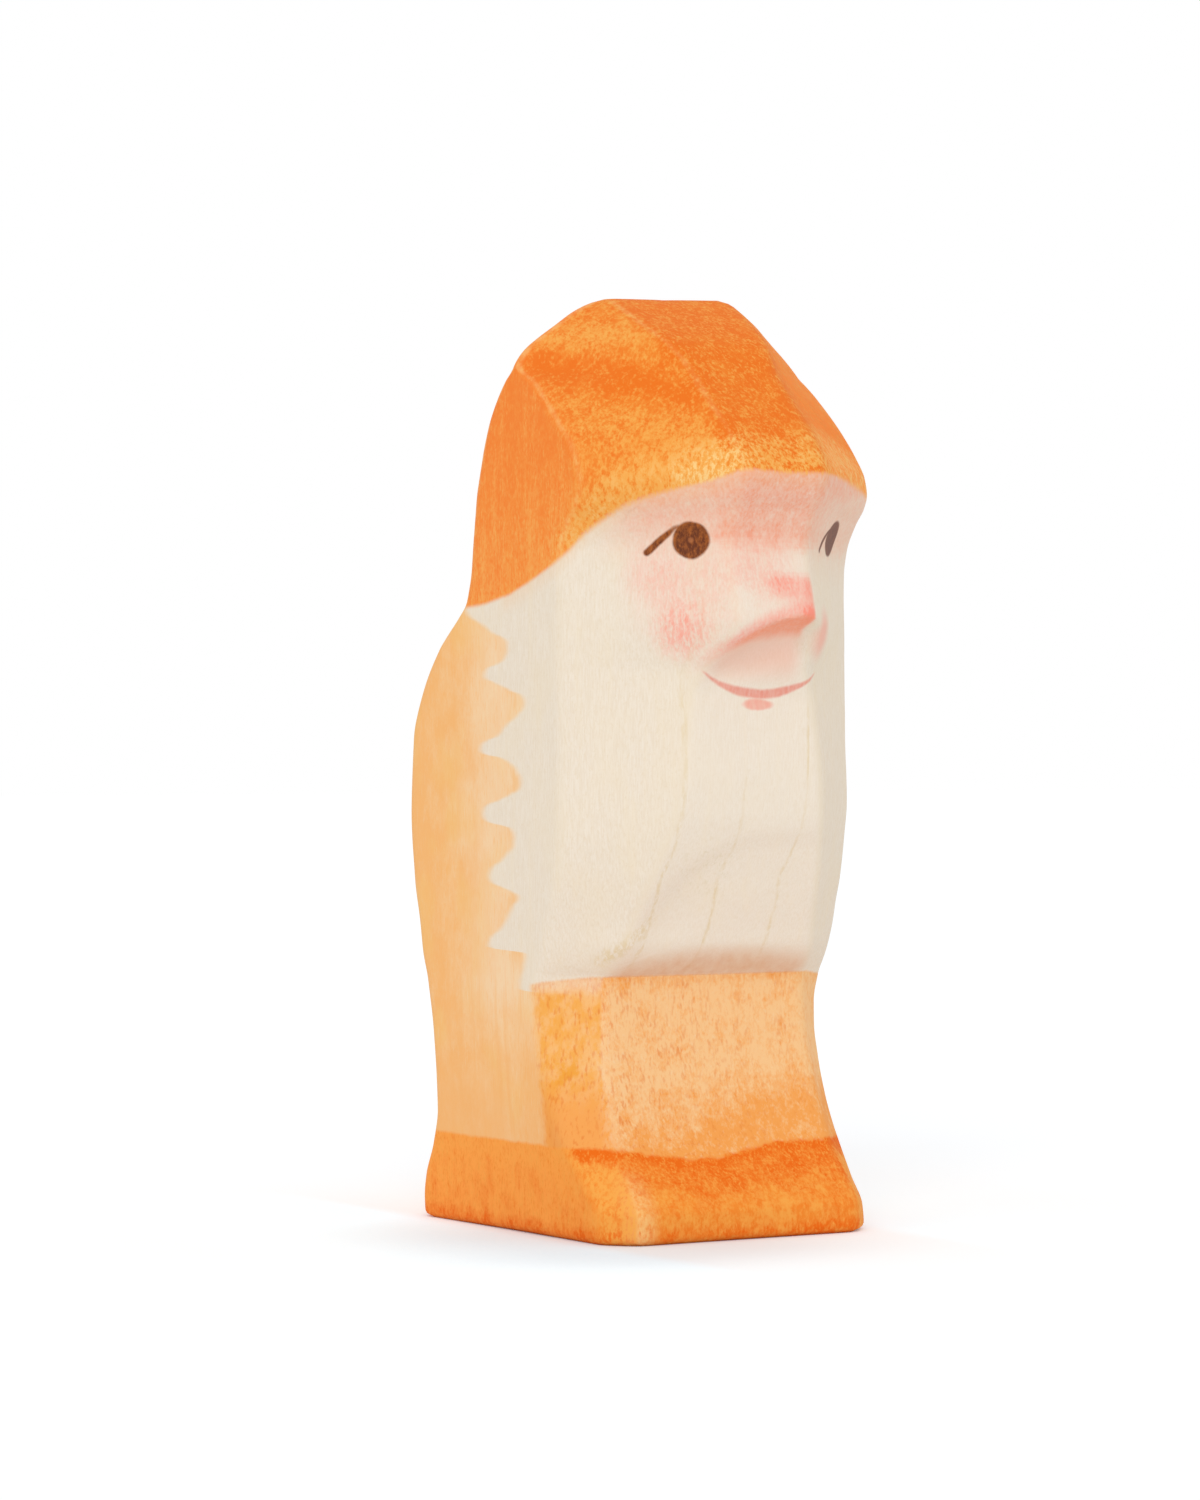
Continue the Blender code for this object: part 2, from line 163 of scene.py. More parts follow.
def smoothLine(points):
    # a curve through (place, size) points that never swings past them
    places = [p[0] for p in points]
    sizes = [p[1] for p in points]
    steps = [b - a for a, b in zip(places, places[1:])]
    slopes = [(b - a) / s for a, b, s in zip(sizes, sizes[1:], steps)]
    tangents = [slopes[0]]
    for before, after in zip(slopes, slopes[1:]):
        turning = before * after <= 0
        tangents.append(0.0 if turning else 2 * before * after / (before + after))
    tangents.append(slopes[-1])

    def sizeAt(place):
        i = min(max(bisect.bisect_right(places, place) - 1, 0), len(steps) - 1)
        s = steps[i]
        t = min(max((place - places[i]) / s, 0.0), 1.0)
        return (
            (1 + 2 * t) * (1 - t) ** 2 * sizes[i]
            + t * (1 - t) ** 2 * s * tangents[i]
            + t * t * (3 - 2 * t) * sizes[i + 1]
            + t * t * (t - 1) * s * tangents[i + 1]
        )

    return sizeAt


# each of the block's lines as a curve, for the near half and the far half
blockLines = {
    side: [smoothLine(block[name]) for name in names]
    for side, names in (
        ("near", ("front", "cheek", "back", "halfWidth", "halfFront", "backFacet")),
        ("far", ("front", "farCheek", "back", "farWidth", "farFront", "backFacet")),
    )
}


def planCorners(z, side):
    # corners of one half of the plan, from the middle of the front to the middle of the back
    front, cheek, back, halfWidth, halfFront, facet = (line(z) for line in blockLines[side])
    least = block["narrowest"]
    halfFront = min(halfFront, halfWidth - least)
    cheek = min(cheek, front - least)
    back = max(back, least - cheek)
    facet = min(facet, halfWidth - least)
    return [
        Vector((0, -front)),
        Vector((halfFront, -front)),
        Vector((halfWidth, -cheek)),
        Vector((halfWidth, back)),
        Vector((halfWidth - facet, back + facet)),
        Vector((0, back + facet)),
    ]


def halfOutline(z, side):
    # the same corners rounded, as evenly spaced points
    corners = planCorners(z, side)
    counts = block["pointsAlong"]
    share = block["roundShare"]
    bends = []
    for before, corner, after in zip(corners, corners[1:], corners[2:]):
        reach = min(block["cornerRound"], share * (corner - before).length,
                    share * (after - corner).length)
        bends.append((corner + (before - corner).normalized() * reach, corner,
                      corner + (after - corner).normalized() * reach))
    outline = []
    start = corners[0]
    for i, (enter, corner, leave) in enumerate(bends):
        outline += [start.lerp(enter, k / counts[2 * i]) for k in range(counts[2 * i])]
        for k in range(counts[2 * i + 1]):
            t = k / counts[2 * i + 1]
            outline.append(enter.lerp(corner, t).lerp(corner.lerp(leave, t), t))
        start = leave
    outline += [start.lerp(corners[-1], k / counts[-1]) for k in range(counts[-1] + 1)]
    return outline


def rise(low, high, value):
    # 0 below low, 1 above high, smooth between
    t = min(max((value - low) / (high - low), 0.0), 1.0)
    return t * t * (3 - 2 * t)


# the gouge cuts: under the nose, and into the lower beard
nose = {
    "middle": 2.3, "height": 45.8, "arch": 0.066, "depth": 1.7,
    # where the cut begins and ends across the face, then below its upper edge
    "nearSide": (-5.6, 2.0), "farSidePaintedLight": (3.0, 5.6), "upper": (-0.15, 0.8), "lower": (1.2, 4.2),
    # towards the near cheek its upper edge is softer
    "softness": 1.4, "softSide": (-4.0, 0.5), "softLift": 0.3,
}
beardHollow = {
    "middle": 1.5, "height": 30.0, "arch": 0.07, "depth": 0.3,
    "nearSide": (-8.5, -4.5), "farSidePaintedLight": (5.5, 8.0), "upper": (-0.3, 1.5), "lower": (2.5, 7.0),
}


def undercut(x, z):
    # how much the gouge takes off under the nose
    below = nose["height"] - nose["arch"] * (x - nose["middle"]) ** 2 - z
    side = rise(*nose["nearSide"], x) * (1 - rise(*nose["farSidePaintedLight"], x))
    soft = nose["softness"] * (1 - rise(*nose["softSide"], x))
    start, full = nose["upper"]
    cut = rise(start - soft * nose["softLift"], full + soft, below)
    return nose["depth"] * side * cut * (1 - rise(*nose["lower"], below))


def hollowed(x, z):
    # a shallow plane pared off the beard's lower half
    h = beardHollow
    near = min(x - h["middle"], 0.0)
    below = h["height"] - h["arch"] * near ** 2 - z
    side = rise(*h["nearSide"], x) * (1 - rise(*h["farSidePaintedLight"], x))
    return h["depth"] * side * rise(*h["upper"], below) * (1 - rise(*h["lower"], below))


def endInset(z):
    # wears the bottom and top edges round
    r = block["endRound"]
    into = max(r - z, z - (block["height"] - r), 0.0)
    return r - math.sqrt(max(r * r - into * into, 0.0))


def makeCarvedBlock():
    half = sum(block["pointsAlong"])
    around = 2 * half
    swayScale, rippleScale = block["handScales"]
    noise.seed_set(block["handSeed"])
    bpy.ops.object.select_all(action="DESELECT")
    bpy.ops.mesh.primitive_circle_add(vertices=around, radius=10 * mm, location=(0, 0, 0))
    body = bpy.context.object
    body.name = "carvedBlock"
    upward = body.modifiers.new("upward", "SCREW")
    upward.angle = 0
    upward.screw_offset = block["height"] * mm
    upward.steps = upward.render_steps = block["levels"]
    upward.use_smooth_shade = True
    bpy.ops.object.modifier_apply(modifier="upward")

    rings = {}
    points = body.data.vertices
    for point in points:
        turn = math.atan2(point.co.x, -point.co.y) / (2 * math.pi) * around
        step = round(turn) % around
        level = round(point.co.z / mm / block["height"] * block["levels"])
        z = level / block["levels"] * block["height"]
        if level not in rings:
            rings[level] = (halfOutline(z, "far"), halfOutline(z, "near"))
        place = rings[level][0][step] if step <= half else rings[level][1][around - step]
        x = place.x if step <= half else -place.x
        y = place.y
        if y < -block["gougeFrom"]:
            y += undercut(x, z) + hollowed(x, z)
        inward = endInset(z)
        if inward:
            middle = (rings[level][1][0].y + rings[level][1][-1].y) / 2
            kept = 1 - inward / math.hypot(x, y - middle)
            x, y = x * kept, middle + (y - middle) * kept
        fade = rise(0, block["handFade"], z)
        spot = Vector((x, y, z))
        sway = noise.noise_vector(spot * swayScale) * block["hand"]
        ripple = noise.noise_vector(spot * rippleScale) * block["hand"] * block["rippleShare"]
        x += (sway.x + ripple.x) * fade
        y += (sway.y + ripple.y) * fade
        fromEdge = min(x, block["crownHalf"]) + block["crownHalf"]
        tilt = block["crownTilt"] * fromEdge * rise(block["tiltFrom"], block["height"], z)
        point.co = (x * mm, (y + axisY) * mm, (z + tilt) * mm)

    bpy.ops.object.mode_set(mode="EDIT")
    bpy.ops.mesh.select_all(action="SELECT")
    bpy.ops.mesh.fill_holes(sides=0)
    bpy.ops.mesh.normals_make_consistent(inside=False)
    bpy.ops.object.mode_set(mode="OBJECT")
    return body


sideReach = 20  # past both flanks


def makeCutter(name, outline):
    # a prism across the whole block; the outline is given as forward of the axis, height
    bpy.ops.object.select_all(action="DESELECT")
    bpy.ops.mesh.primitive_circle_add(vertices=len(outline), radius=mm, fill_type="NGON")
    cutter = bpy.context.object
    cutter.name = name
    for point, (forward, z) in zip(cutter.data.vertices, outline):
        point.co = (-sideReach * mm, (axisY - forward) * mm, z * mm)
    bpy.ops.object.mode_set(mode="EDIT")
    bpy.ops.mesh.select_all(action="SELECT")
    bpy.ops.mesh.extrude_region_move(TRANSFORM_OT_translate={"value": (2 * sideReach * mm, 0, 0)})
    bpy.ops.mesh.select_all(action="SELECT")
    bpy.ops.mesh.normals_make_consistent(inside=False)
    bpy.ops.object.mode_set(mode="OBJECT")
    return cutter


def zigzag(low, high):
    # the toothed border of coat and beard between two heights, from the top down
    hair = 0.01  # no corner lies so close to an end
    pitch = (zones["neck"] - zones["beardBottom"]) / (2 * zones["notches"] - 1)
    corners = [(-zones["notchBack"] if i % 2 == 0 else zones["toothFront"],
                zones["neck"] - i * pitch) for i in range(2 * zones["notches"])]

    def at(z):
        i = min(max(int((zones["neck"] - z) / pitch), 0), len(corners) - 2)
        (f0, z0), (f1, z1) = corners[i], corners[i + 1]
        return (f0 + (f1 - f0) * (z0 - z) / (z0 - z1), z)

    return [at(high)] + [c for c in corners if low + hair < c[1] < high - hair] + [at(low)]


rimLine = smoothLine(zones["rim"])
ahead, behind, above, below = 26, -26, 76, -5  # all outside the block
hemTop, beardBottom, lip, neck = (zones[k] for k in ("hemTop", "beardBottom", "lip", "neck"))
skirtEdge = zones["skirtEdge"]
rimFront, rimTop = zones["rim"][-1]
rimSteps = 12
rimPlaces = [rimFront * i / rimSteps for i in range(rimSteps + 1)]
rim = [(place, rimLine(place)) for place in rimPlaces]

zoneOutlines = {
    # piece, then the node it stands for, its slot, and its outline
    "hemBand": ("hem_band", "deep_orange_stain", [
        (behind, below), (behind, hemTop), (ahead, hemTop), (ahead, below),
    ]),
    "skirtFront": ("skirt", "skirt_stain", [
        (skirtEdge, hemTop), (skirtEdge, beardBottom), (ahead, beardBottom), (ahead, hemTop),
    ]),
    "coatRound": ("coat", "light_orange_stain", [
        (behind, hemTop), (behind, neck), *zigzag(beardBottom, neck),
        (skirtEdge, beardBottom), (skirtEdge, hemTop),
    ]),
    "longBeard": ("beard", "bare_maple", [
        *zigzag(beardBottom, lip), (ahead, beardBottom), (ahead, lip),
    ]),
    "carvedFace": ("face", "pink_washed_maple", [
        *zigzag(lip, neck), (ahead, lip), (ahead, rimTop), *rim[:0:-1], (0, neck),
    ]),
    "tallCap": ("cap", "orange_stain", [
        (behind, neck), *rim, (ahead, rimTop), (ahead, above), (behind, above),
    ]),
}


planLevels = 4  # plans worked out for each mm of height


def markFacets(piece):
    # how far round the outline each point lies, 0 to 5, and its distance from a facet's edge
    mesh = piece.data
    around = mesh.attributes.new("around", "FLOAT", "POINT")
    edge = mesh.attributes.new("edge", "FLOAT", "POINT")
    cache = {}
    for i, point in enumerate(mesh.vertices):
        z = point.co.z / mm
        key = round(z * planLevels)
        side = "far" if point.co.x > 0 else "near"
        if (key, side) not in cache:
            cache[key, side] = planCorners(key / planLevels, side)
        corners = cache[key, side]
        spot = Vector((abs(point.co.x) / mm, point.co.y / mm - axisY))
        best = (1e9, 0.0)
        for k, (a, b) in enumerate(zip(corners, corners[1:])):
            run = b - a
            t = min(max((spot - a).dot(run) / max(run.length_squared, 1e-9), 0.0), 1.0)
            away = (spot - a - run * t).length
            best = min(best, (away, k + t))
        around.data[i].value = best[1]
        edge.data[i].value = min((spot - c).length for c in corners[1:5])


def makeZones(body, material):
    made = []
    for name, (node, slot, outline) in zoneOutlines.items():
        cutter = makeCutter(name + "Cutter", outline)
        bpy.ops.object.select_all(action="DESELECT")
        body.select_set(True)
        bpy.context.view_layer.objects.active = body
        bpy.ops.object.duplicate()
        piece = bpy.context.object
        piece.name = name
        part = piece.modifiers.new("part", "BOOLEAN")
        part.operation = "INTERSECT"
        part.solver = "EXACT"
        part.object = cutter
        bpy.ops.object.modifier_apply(modifier="part")
        bpy.data.objects.remove(cutter)
        piece.data.materials.clear()
        piece.data.materials.append(material)
        bpy.ops.object.select_all(action="DESELECT")
        piece.select_set(True)
        bpy.context.view_layer.objects.active = piece
        bpy.ops.object.shade_smooth_by_angle(angle=math.radians(zones["smoothAngle"]))
        markFacets(piece)
        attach(piece, "root")
        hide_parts(node)
        made.append(piece)
        print("zone", name, len(piece.data.polygons), "faces")
    bpy.data.objects.remove(body)
    return made


def tint(red, green, blue):
    # an everyday 0 to 255 colour as Blender's linear one
    def linear(v):
        v /= 255
        return v / 12.92 if v <= 0.04045 else ((v + 0.055) / 1.055) ** 2.4
    return (linear(red), linear(green), linear(blue), 1.0)


class Signal:
    # a socket that can be used in sums
    def __init__(self, tree, socket=None):
        self.tree, self.socket = tree, socket

    def node(self, kind, settings=None, sockets=None, out=0):
        made = self.tree.nodes.new(kind)
        for name, value in (settings or {}).items():
            if name == "curve":
                curve = made.mapping.curves[0]
                for point, spot in zip(curve.points, (value[0], value[-1])):
                    point.location = spot
                for spot in value[1:-1]:
                    curve.points.new(*spot)
                made.mapping.update()
            else:
                setattr(made, name, value)
        for name, value in (sockets or {}).items():
            if isinstance(value, Signal):
                self.tree.links.new(value.socket, made.inputs[name])
            else:
                made.inputs[name].default_value = value
        return Signal(self.tree, made.outputs[out])

    def maths(self, operation, *values):
        return self.node("ShaderNodeMath", {"operation": operation}, dict(enumerate(values)))

    def vector(self, operation, sockets, out=0):
        return self.node("ShaderNodeVectorMath", {"operation": operation}, sockets, out)

    def __add__(self, other):
        return self.maths("ADD", self, other)

    __radd__ = __add__

    def __sub__(self, other):
        return self.maths("SUBTRACT", self, other)

    def __rsub__(self, other):
        return self.maths("SUBTRACT", other, self)

    def __mul__(self, other):
        return self.maths("MULTIPLY", self, other)

    def __truediv__(self, other):
        return self.maths("DIVIDE", self, other)

    def __abs__(self):
        return self.maths("ABSOLUTE", self)

    def least(self, other):
        return self.maths("MINIMUM", self, other)

    def most(self, other):
        return self.maths("MAXIMUM", self, other)

    def clear(self):
        # held between 0 and 1
        return self.most(0.0).least(1.0)

    def step(self, low, high):
        # 0 below low, 1 above high, smooth between; falls where low is above high
        return self.node("ShaderNodeMapRange", {"interpolation_type": "SMOOTHSTEP"},
                         {"Value": self, "From Min": low, "From Max": high})

    def bell(self, middle, half):
        # 1 at the middle, 0 beyond half to either side
        return abs(self - middle).step(half, 0.0)

    def between(self, under, over):
        # a colour: under where this is 0, over where it is 1
        colours = {0: self, 6: under, 7: over}
        return self.node("ShaderNodeMix", {"data_type": "RGBA"}, colours, out=2)

    def line(self, points):
        # a drawn line through (place, size) points
        low, high = points[0][0], points[-1][0]
        least = min(p[1] for p in points)
        span = max(p[1] for p in points) - least
        curve = [((a - low) / (high - low), (b - least) / span) for a, b in points]
        drawn = self.node("ShaderNodeFloatCurve", {"curve": curve},
                          {"Value": ((self - low) / (high - low)).clear()})
        return drawn * span + least


class MapleFields:
    # where on the block a point lies, and the unevenness that all the layers share
    def __init__(self, tree):
        self.start = Signal(tree)
        coordinates = self.start.node("ShaderNodeTexCoord", out="Object")
        self.place = self.start.vector(
            "MULTIPLY_ADD", {0: coordinates, 1: (1 / mm, 1 / mm, 1 / mm), 2: (0, -axisY, 0)})
        self.x = self.start.node("ShaderNodeSeparateXYZ", None, {0: self.place})
        self.y, self.z = (Signal(tree, self.x.socket.node.outputs[i]) for i in (1, 2))
        self.around, self.edge = (
            self.start.node("ShaderNodeAttribute", {"attribute_name": name}, out="Fac")
            for name in ("around", "edge"))
        # sideways, as the near front corner is faced
        self.across = self.x * 0.846 - self.y * 0.533
        self.frontal = self.y.step(-7.5, -10.5)
        self.flank = self.around.step(1.85, 2.15)
        self.fibre = self.mottle(8.5, (1, 1, 0.11), 3.0, 0.65)
        self.streak = self.mottle(1.3, (1, 1, 0.06), 3.0, 0.5, 31)
        self.cloud = self.mottle(0.2, (1, 1, 0.7), 2.0, 0.5, 7)
        self.patch = self.mottle(0.5, (1, 1, 0.7), 3.0, 0.55, 64)
        self.grit = self.mottle(3.4, (1, 1, 0.5), 4.0, 0.7, 12)
        self.speck = self.mottle(1.2, (1, 1, 0.75), 4.0, 0.62, 55)
        self.flecks = self.mottle(3.5, (1, 1, 0.3), 3.0, 0.6, 77)
        self.grain = self.mottle(6.0, (1, 1, 0.55), 2.0, 0.6, 23)
        self.wobble = self.mottle(0.9, (1, 1, 1), 3.0, 0.55, 90) - 0.5
        self.fringe = (self.fibre - 0.5) * 0.45 + (self.grit - 0.5) * 0.45

    def mottle(self, scale, stretch, detail, roughness, shift=0.0):
        # noise in mm, drawn out along z; each shift gives another piece of it
        spread = self.start.vector(
            "MULTIPLY_ADD", {0: self.place, 1: stretch, 2: (shift, shift * 0.7, shift * 1.3)})
        return self.start.node("ShaderNodeTexNoise", None,
                               {"Vector": spread, "Scale": scale, "Detail": detail,
                                "Roughness": roughness})

    def mix(self, under, over, mask):
        return mask.between(under, over)

    def spot(self, centre):
        # distance from a point in mm
        return self.start.vector("DISTANCE", {0: self.place, 1: centre}, out="Value")

    def dab(self, centre, outer, inner):
        # a soft round spot
        return self.spot(centre).step(outer, inner)

    def stroke(self, a, b):
        # distance from the straight line between two points in mm
        a, b = Vector(a), Vector(b)
        run = b - a
        fromA = self.start.vector("SUBTRACT", {0: self.place, 1: a})
        along = self.start.vector(
            "DOT_PRODUCT", {0: fromA, 1: run / run.length_squared}, out="Value").clear()
        nearest = self.start.vector("SCALE", {0: run, "Scale": along})
        return self.start.vector("DISTANCE", {0: fromA, 1: nearest}, out="Value")


bareTones = {
    "pale": tint(240, 228, 211), "fine": tint(234, 219, 198), "warm": tint(239, 223, 196),
    "ring": tint(222, 194, 136), "shade": tint(217, 150, 92), "paintedRidgeHighlight": tint(247, 236, 224),
    "grain": tint(229, 210, 180), "open": tint(251, 240, 226), "olive": tint(216, 200, 158),
    # growth rings cut by the front: place, half thickness and upper end of each
    "rings": ((-5.9, 0.3, 50), (-0.6, 0.24, 33), (4.9, 0.24, 39)),
    # how askew they run behind the beard's front, and the height and size of their bend
    "askew": 0.2, "beardFront": 14.9, "bendHeight": 26.7, "bend": 0.4,
    "oliveSpots": ((-2.6, -14.6, 26.6), 5.2, 1.0),
    "ridgeLine": ((-8.2, -9.2, 19.75), (-5.4, -10.2, 21.0)),
    "tickLine": ((-6.4, -11.6, 23.4), (-9.7, -9.0, 20.3)),
}


def bareWood(f):
    # pale, with fine fibres, soft bands and faint ring lines
    b = bareTones
    wood = f.mix(b["fine"], b["pale"], f.fibre.step(0.3, 0.68))
    bands = f.streak.step(0.5, 0.75) * 0.35 + f.cloud.step(0.45, 0.7) * 0.3
    wood = f.mix(wood, b["warm"], bands)
    wood = f.mix(wood, b["fine"], f.grit.step(0.56, 0.75) * 0.35)
    wood = f.mix(wood, b["grain"], f.grain.step(0.52, 0.7) * 0.34)
    # painted light: the front face is lightened, as it gets less light than the facets
    wood = f.mix(wood, b["open"], f.around.step(1.1, 0.9) * 0.26)
    bend = f.z.bell(b["bendHeight"], 2.5) * b["bend"]
    askew = (f.y + b["beardFront"]) * b["askew"]
    ringX = f.x + askew + (f.streak - 0.5) * 0.5 + bend
    rings = 0.0
    for place, half, top in b["rings"]:
        rings = ringX.bell(place, half) * f.z.step(top + 2.0, top - 1.0) + rings
    rings = rings * f.frontal * f.flecks.step(0.32, 0.6) * (f.z.step(43, 38) * 0.65 + 0.35)
    rings = rings * (f.patch.step(0.35, 0.6) * 0.6 + 0.4)
    wood = f.mix(wood, b["ring"], (rings * 0.46).clear())
    spots = f.dab(*b["oliveSpots"]) * f.grit.step(0.5, 0.68) * f.frontal
    wood = f.mix(wood, b["olive"], spots * 0.34)
    wood = f.mix(wood, b["warm"], f.edge.step(0.7, 0.0) * f.frontal * 0.4)

    # end grain under the beard, tinted by the skirt's stain and darkened with painted shade, with a
    # painted highlight along a ridge and knife ticks
    low = f.z + (f.x - 1.0) * (f.x - 1.0) * 0.014
    under = low.step(22.0, 20.2) * f.x.step(-9.2, -7.0) * f.x.step(9.6, 7.8)
    under = under * f.y.step(-6.5, -8.5)
    wood = f.mix(wood, b["shade"], (under * (f.streak * 0.5 + 0.18)).clear())
    paintedRidgeHighlight = f.stroke(*b["ridgeLine"]).step(0.34, 0.05)
    wood = f.mix(wood, b["paintedRidgeHighlight"], paintedRidgeHighlight * 0.6)
    ticks = f.stroke(*b["tickLine"]).step(0.9, 0.1) * f.grit.step(0.4, 0.6)
    return f.mix(wood, b["ring"], ticks * 0.5)


blush = {
    "pink": tint(251, 150, 130), "rose": tint(244, 153, 117), "shadow": tint(247, 152, 116),
    # soft spots: middle, outer and inner radius
    "cheek": ((-6.4, -15.2, 44.8), 3.0, 0.5), "farCheek": ((6.2, -15.4, 44.6), 2.6, 0.5),
    "underEye": ((-8.0, -13.5, 48.9), 3.0, 0.8),
    "haze": ((-5.4, -15.6, 47.8), 6.6, 0.8), "bridge": ((-1.0, -17.7, 49.4), 4.2, 0.6),
    "paintedBumpHighlight": ((-2.9, -17.9, 47.0), 1.7, 0.4),
}


def facePaint(f, wood):
    # thin pink washes, put on with a nearly dry brush along the brow
    drag = f.mottle(1.6, (0.25, 0.25, 2.2), 3.0, 0.6, 41) - 0.5
    brow = (f.z + drag * 1.2 + f.wobble * 1.6).step(50.0, 52.0)
    brow = brow * (f.x + f.wobble * 2.6).step(-7.4, -3.2) * f.frontal
    underCap = (f.z - f.x * 0.16 + drag * 0.8).step(50.6, 54.8)
    underCap = underCap * f.x.step(-11.6, -8.4) * f.y.step(-7, -10)
    veil = (f.z + drag).bell(50.6, 2.8) * f.x.step(-7.5, -3.5) * f.frontal
    rosy = (brow * (0.58 - f.x.step(2, 7) * 0.26)).most(underCap * 0.5)
    rosy = rosy + brow * underCap * 0.1 + veil * 0.08
    patchy = f.speck * 0.9 + (f.grit - 0.5) * 1.3 + (f.grain - 0.5) * 0.8 + drag * 0.15 + 0.5
    wood = f.mix(wood, blush["rose"], (rosy * patchy).clear())

    def dab(name):
        return f.dab(*blush[name])

    # the nose's tip and side, the fold beside it, and the muzzle and shadow below it
    fromNose = f.x - nose["middle"]
    arch = f.z + fromNose * fromNose * nose["arch"]
    below = nose["height"] + 0.1 - arch
    front = f.x.step(3.6, 3.1) * f.frontal
    tip = (f.x + f.wobble * 1.8).step(-1.6, 0.4) * (f.z + drag).step(49.4, 48.3) * front
    lower = (f.z + (f.x - 0.8).most(0.0) * 0.9).step(46.5, 47.7)
    tip = tip * (lower * (f.z.step(46.4, 48.0) * 0.4 + 0.6))
    side = f.x.bell(2.9, 0.9) * f.z.step(45.0, 45.8) * f.z.step(49.0, 48.0) * f.frontal
    fold = arch.bell(46.2, 1.1) * f.x.step(-6.2, -2.6) * front
    muzzle = f.z.step(40.4, 42.8) * below.step(-0.2, 0.4) * f.x.step(-5.8, -2.8)
    muzzle = muzzle * f.x.step(4.4, 2.4) * f.frontal
    dry = (f.flecks * 0.7 + f.grain * 0.5).step(0.42, 0.78)
    wash = (dab("cheek") * (dry * 0.48 + 0.1) + dab("farCheek") * 0.5
            + dab("underEye") * (dry * 0.14 + 0.1) + dab("haze") * (dry * 0.22 + 0.12)
            + dab("bridge") * (dry * 0.22 + 0.12) + tip * (dry * 0.26 + 0.4) + side * 0.2
            + fold * (dry * 0.26 + 0.42) + muzzle * 0.12)
    # painted highlight: less pink wash on a small bump by the nose
    wash = wash * (1 - dab("paintedBumpHighlight") * 0.6)
    wood = f.mix(wood, blush["pink"], wash.clear())
    # painted shadow in a lens under the nose's edge, and painted shade over the muzzle
    thick = ((f.x + 3.8) * 0.24).clear() * 1.1
    shade = below.step(-0.35, 0.15) * (below - thick).step(0.7, -0.3) * f.x.step(-4.4, -2.0) * front
    return f.mix(wood, blush["shadow"], (shade * (dry * 0.2 + 0.44) + muzzle * 0.24).clear())


drawing = {
    "red": tint(233, 118, 98), "palerRed": tint(243, 160, 140),
    "mouthMiddle": 0.6, "mouthLow": 40.22, "mouthBend": 0.055,
    "lipMiddle": (0.4, 39.45), "lipSize": (1.35, 0.42),
    "brown": tint(162, 88, 32), "umber": tint(100, 42, 8), "grey": tint(126, 98, 90),
    "light": tint(184, 112, 66),
    "nearEye": (-5.8, -15.45, 51.4), "farEye": (8.35, -13.2, 51.9), "eyeSize": 1.5,
    "nearLash": ((-8.15, -13.15, 50.5), (-6.75, -14.65, 52.3), (-5.95, -15.4, 52.62)),
    "farLash": ((6.0, -15.0, 50.9), (7.2, -14.1, 52.3), (8.0, -13.5, 52.9)),
}


def drawnFace(f, wood):
    # mouth and lower lip with a fine brush, then the eyes: a round brush dot with a lash
    d = drawing
    fromMiddle = f.x - d["mouthMiddle"]
    fromMouth = f.z + f.wobble * 0.14 - fromMiddle * fromMiddle * d["mouthBend"] - d["mouthLow"]
    thick = abs(fromMiddle).step(6.2, 1.2) * 0.32
    mouth = (abs(fromMouth) - thick).step(0.16, -0.12) * abs(fromMiddle).step(5.7, 5.0) * f.frontal
    wood = f.mix(wood, d["red"], (mouth * (f.flecks * 0.7 + 0.4)).clear() * 0.88)
    lipX = (f.x - d["lipMiddle"][0]) / d["lipSize"][0]
    lipZ = (f.z - d["lipMiddle"][1] + f.wobble * 0.3) / d["lipSize"][1]
    lowerLip = (lipX * lipX + lipZ * lipZ).step(1.4, 0.4) * f.frontal
    wood = f.mix(wood, d["palerRed"], lowerLip * (f.flecks * 0.5 + 0.5))

    near, far = (f.spot(d[name]) + f.wobble * 0.2 for name in ("nearEye", "farEye"))
    nearLash, farLash = (
        f.stroke(*d[name][:2]).least(f.stroke(*d[name][1:])) + f.wobble * 0.16
        for name in ("nearLash", "farLash"))
    eye = near.least(far)
    size = d["eyeSize"]
    mark = eye.step(size, size - 0.24).most(nearLash.step(0.36, 0.16)).most(farLash.step(0.3, 0.12))
    warm = (f.grit - 0.5) * 3.0 + (f.grain - 0.5) * 2.0 + eye.step(0.8, 1.45) * 0.45
    warm = (warm + (f.z - d["nearEye"][2]) * 0.16 + 0.24).clear()
    paint = f.mix(d["umber"], d["brown"], warm)
    # painted glint in the middle of each eye, with lighter flecks in the paint
    glint = (eye.step(0.3, 0.08) * 0.6).most(f.grain.step(0.6, 0.75) * 0.3)
    paint = f.mix(paint, d["light"], glint)
    paint = f.mix(paint, d["grey"], f.x.step(2.0, 4.0) * 0.75)
    return f.mix(wood, paint, mark * 0.97)


coatStain = {
    "light": tint(249, 207, 155), "deep": tint(248, 184, 112), "yellow": tint(247, 194, 116),
    "thin": tint(247, 222, 188), "pooled": tint(245, 180, 100),
    # the hand-painted zigzag: height, then how far behind the axis the stain stops
    "edge": [
        (16.5, -7), (18.0, -7), (18.3, -2.7), (20.1, -3.4), (20.9, -3.7), (21.1, -2.2),
        (21.3, 1.6), (22.6, 0.05), (23.5, -1.1), (24.6, -2.2), (25.1, -2.75), (25.45, -2.1),
        (25.9, 0), (26.5, 1.5), (27.8, -0.3), (28.4, -1.2), (29.4, -2.15), (30.2, -1.7),
        (30.5, 0.3), (31.2, 2.45), (32.3, 0), (32.8, -1.8), (33.7, -3.15), (34.5, -2.7),
        (35.1, -1.7), (35.6, 0), (36.1, 2.65), (37.1, 0.15), (38, -1.3), (38.8, -3.0),
        (39.6, -3.75), (40.5, -1.9), (41.2, 0.7), (41.8, 2.0), (42.5, 0.25), (43.1, -1.05),
        (43.9, -1.4), (44.4, -0.9), (44.8, 0.5), (45.7, 2.7), (46.5, 4.5), (48, 5.2),
    ],
}


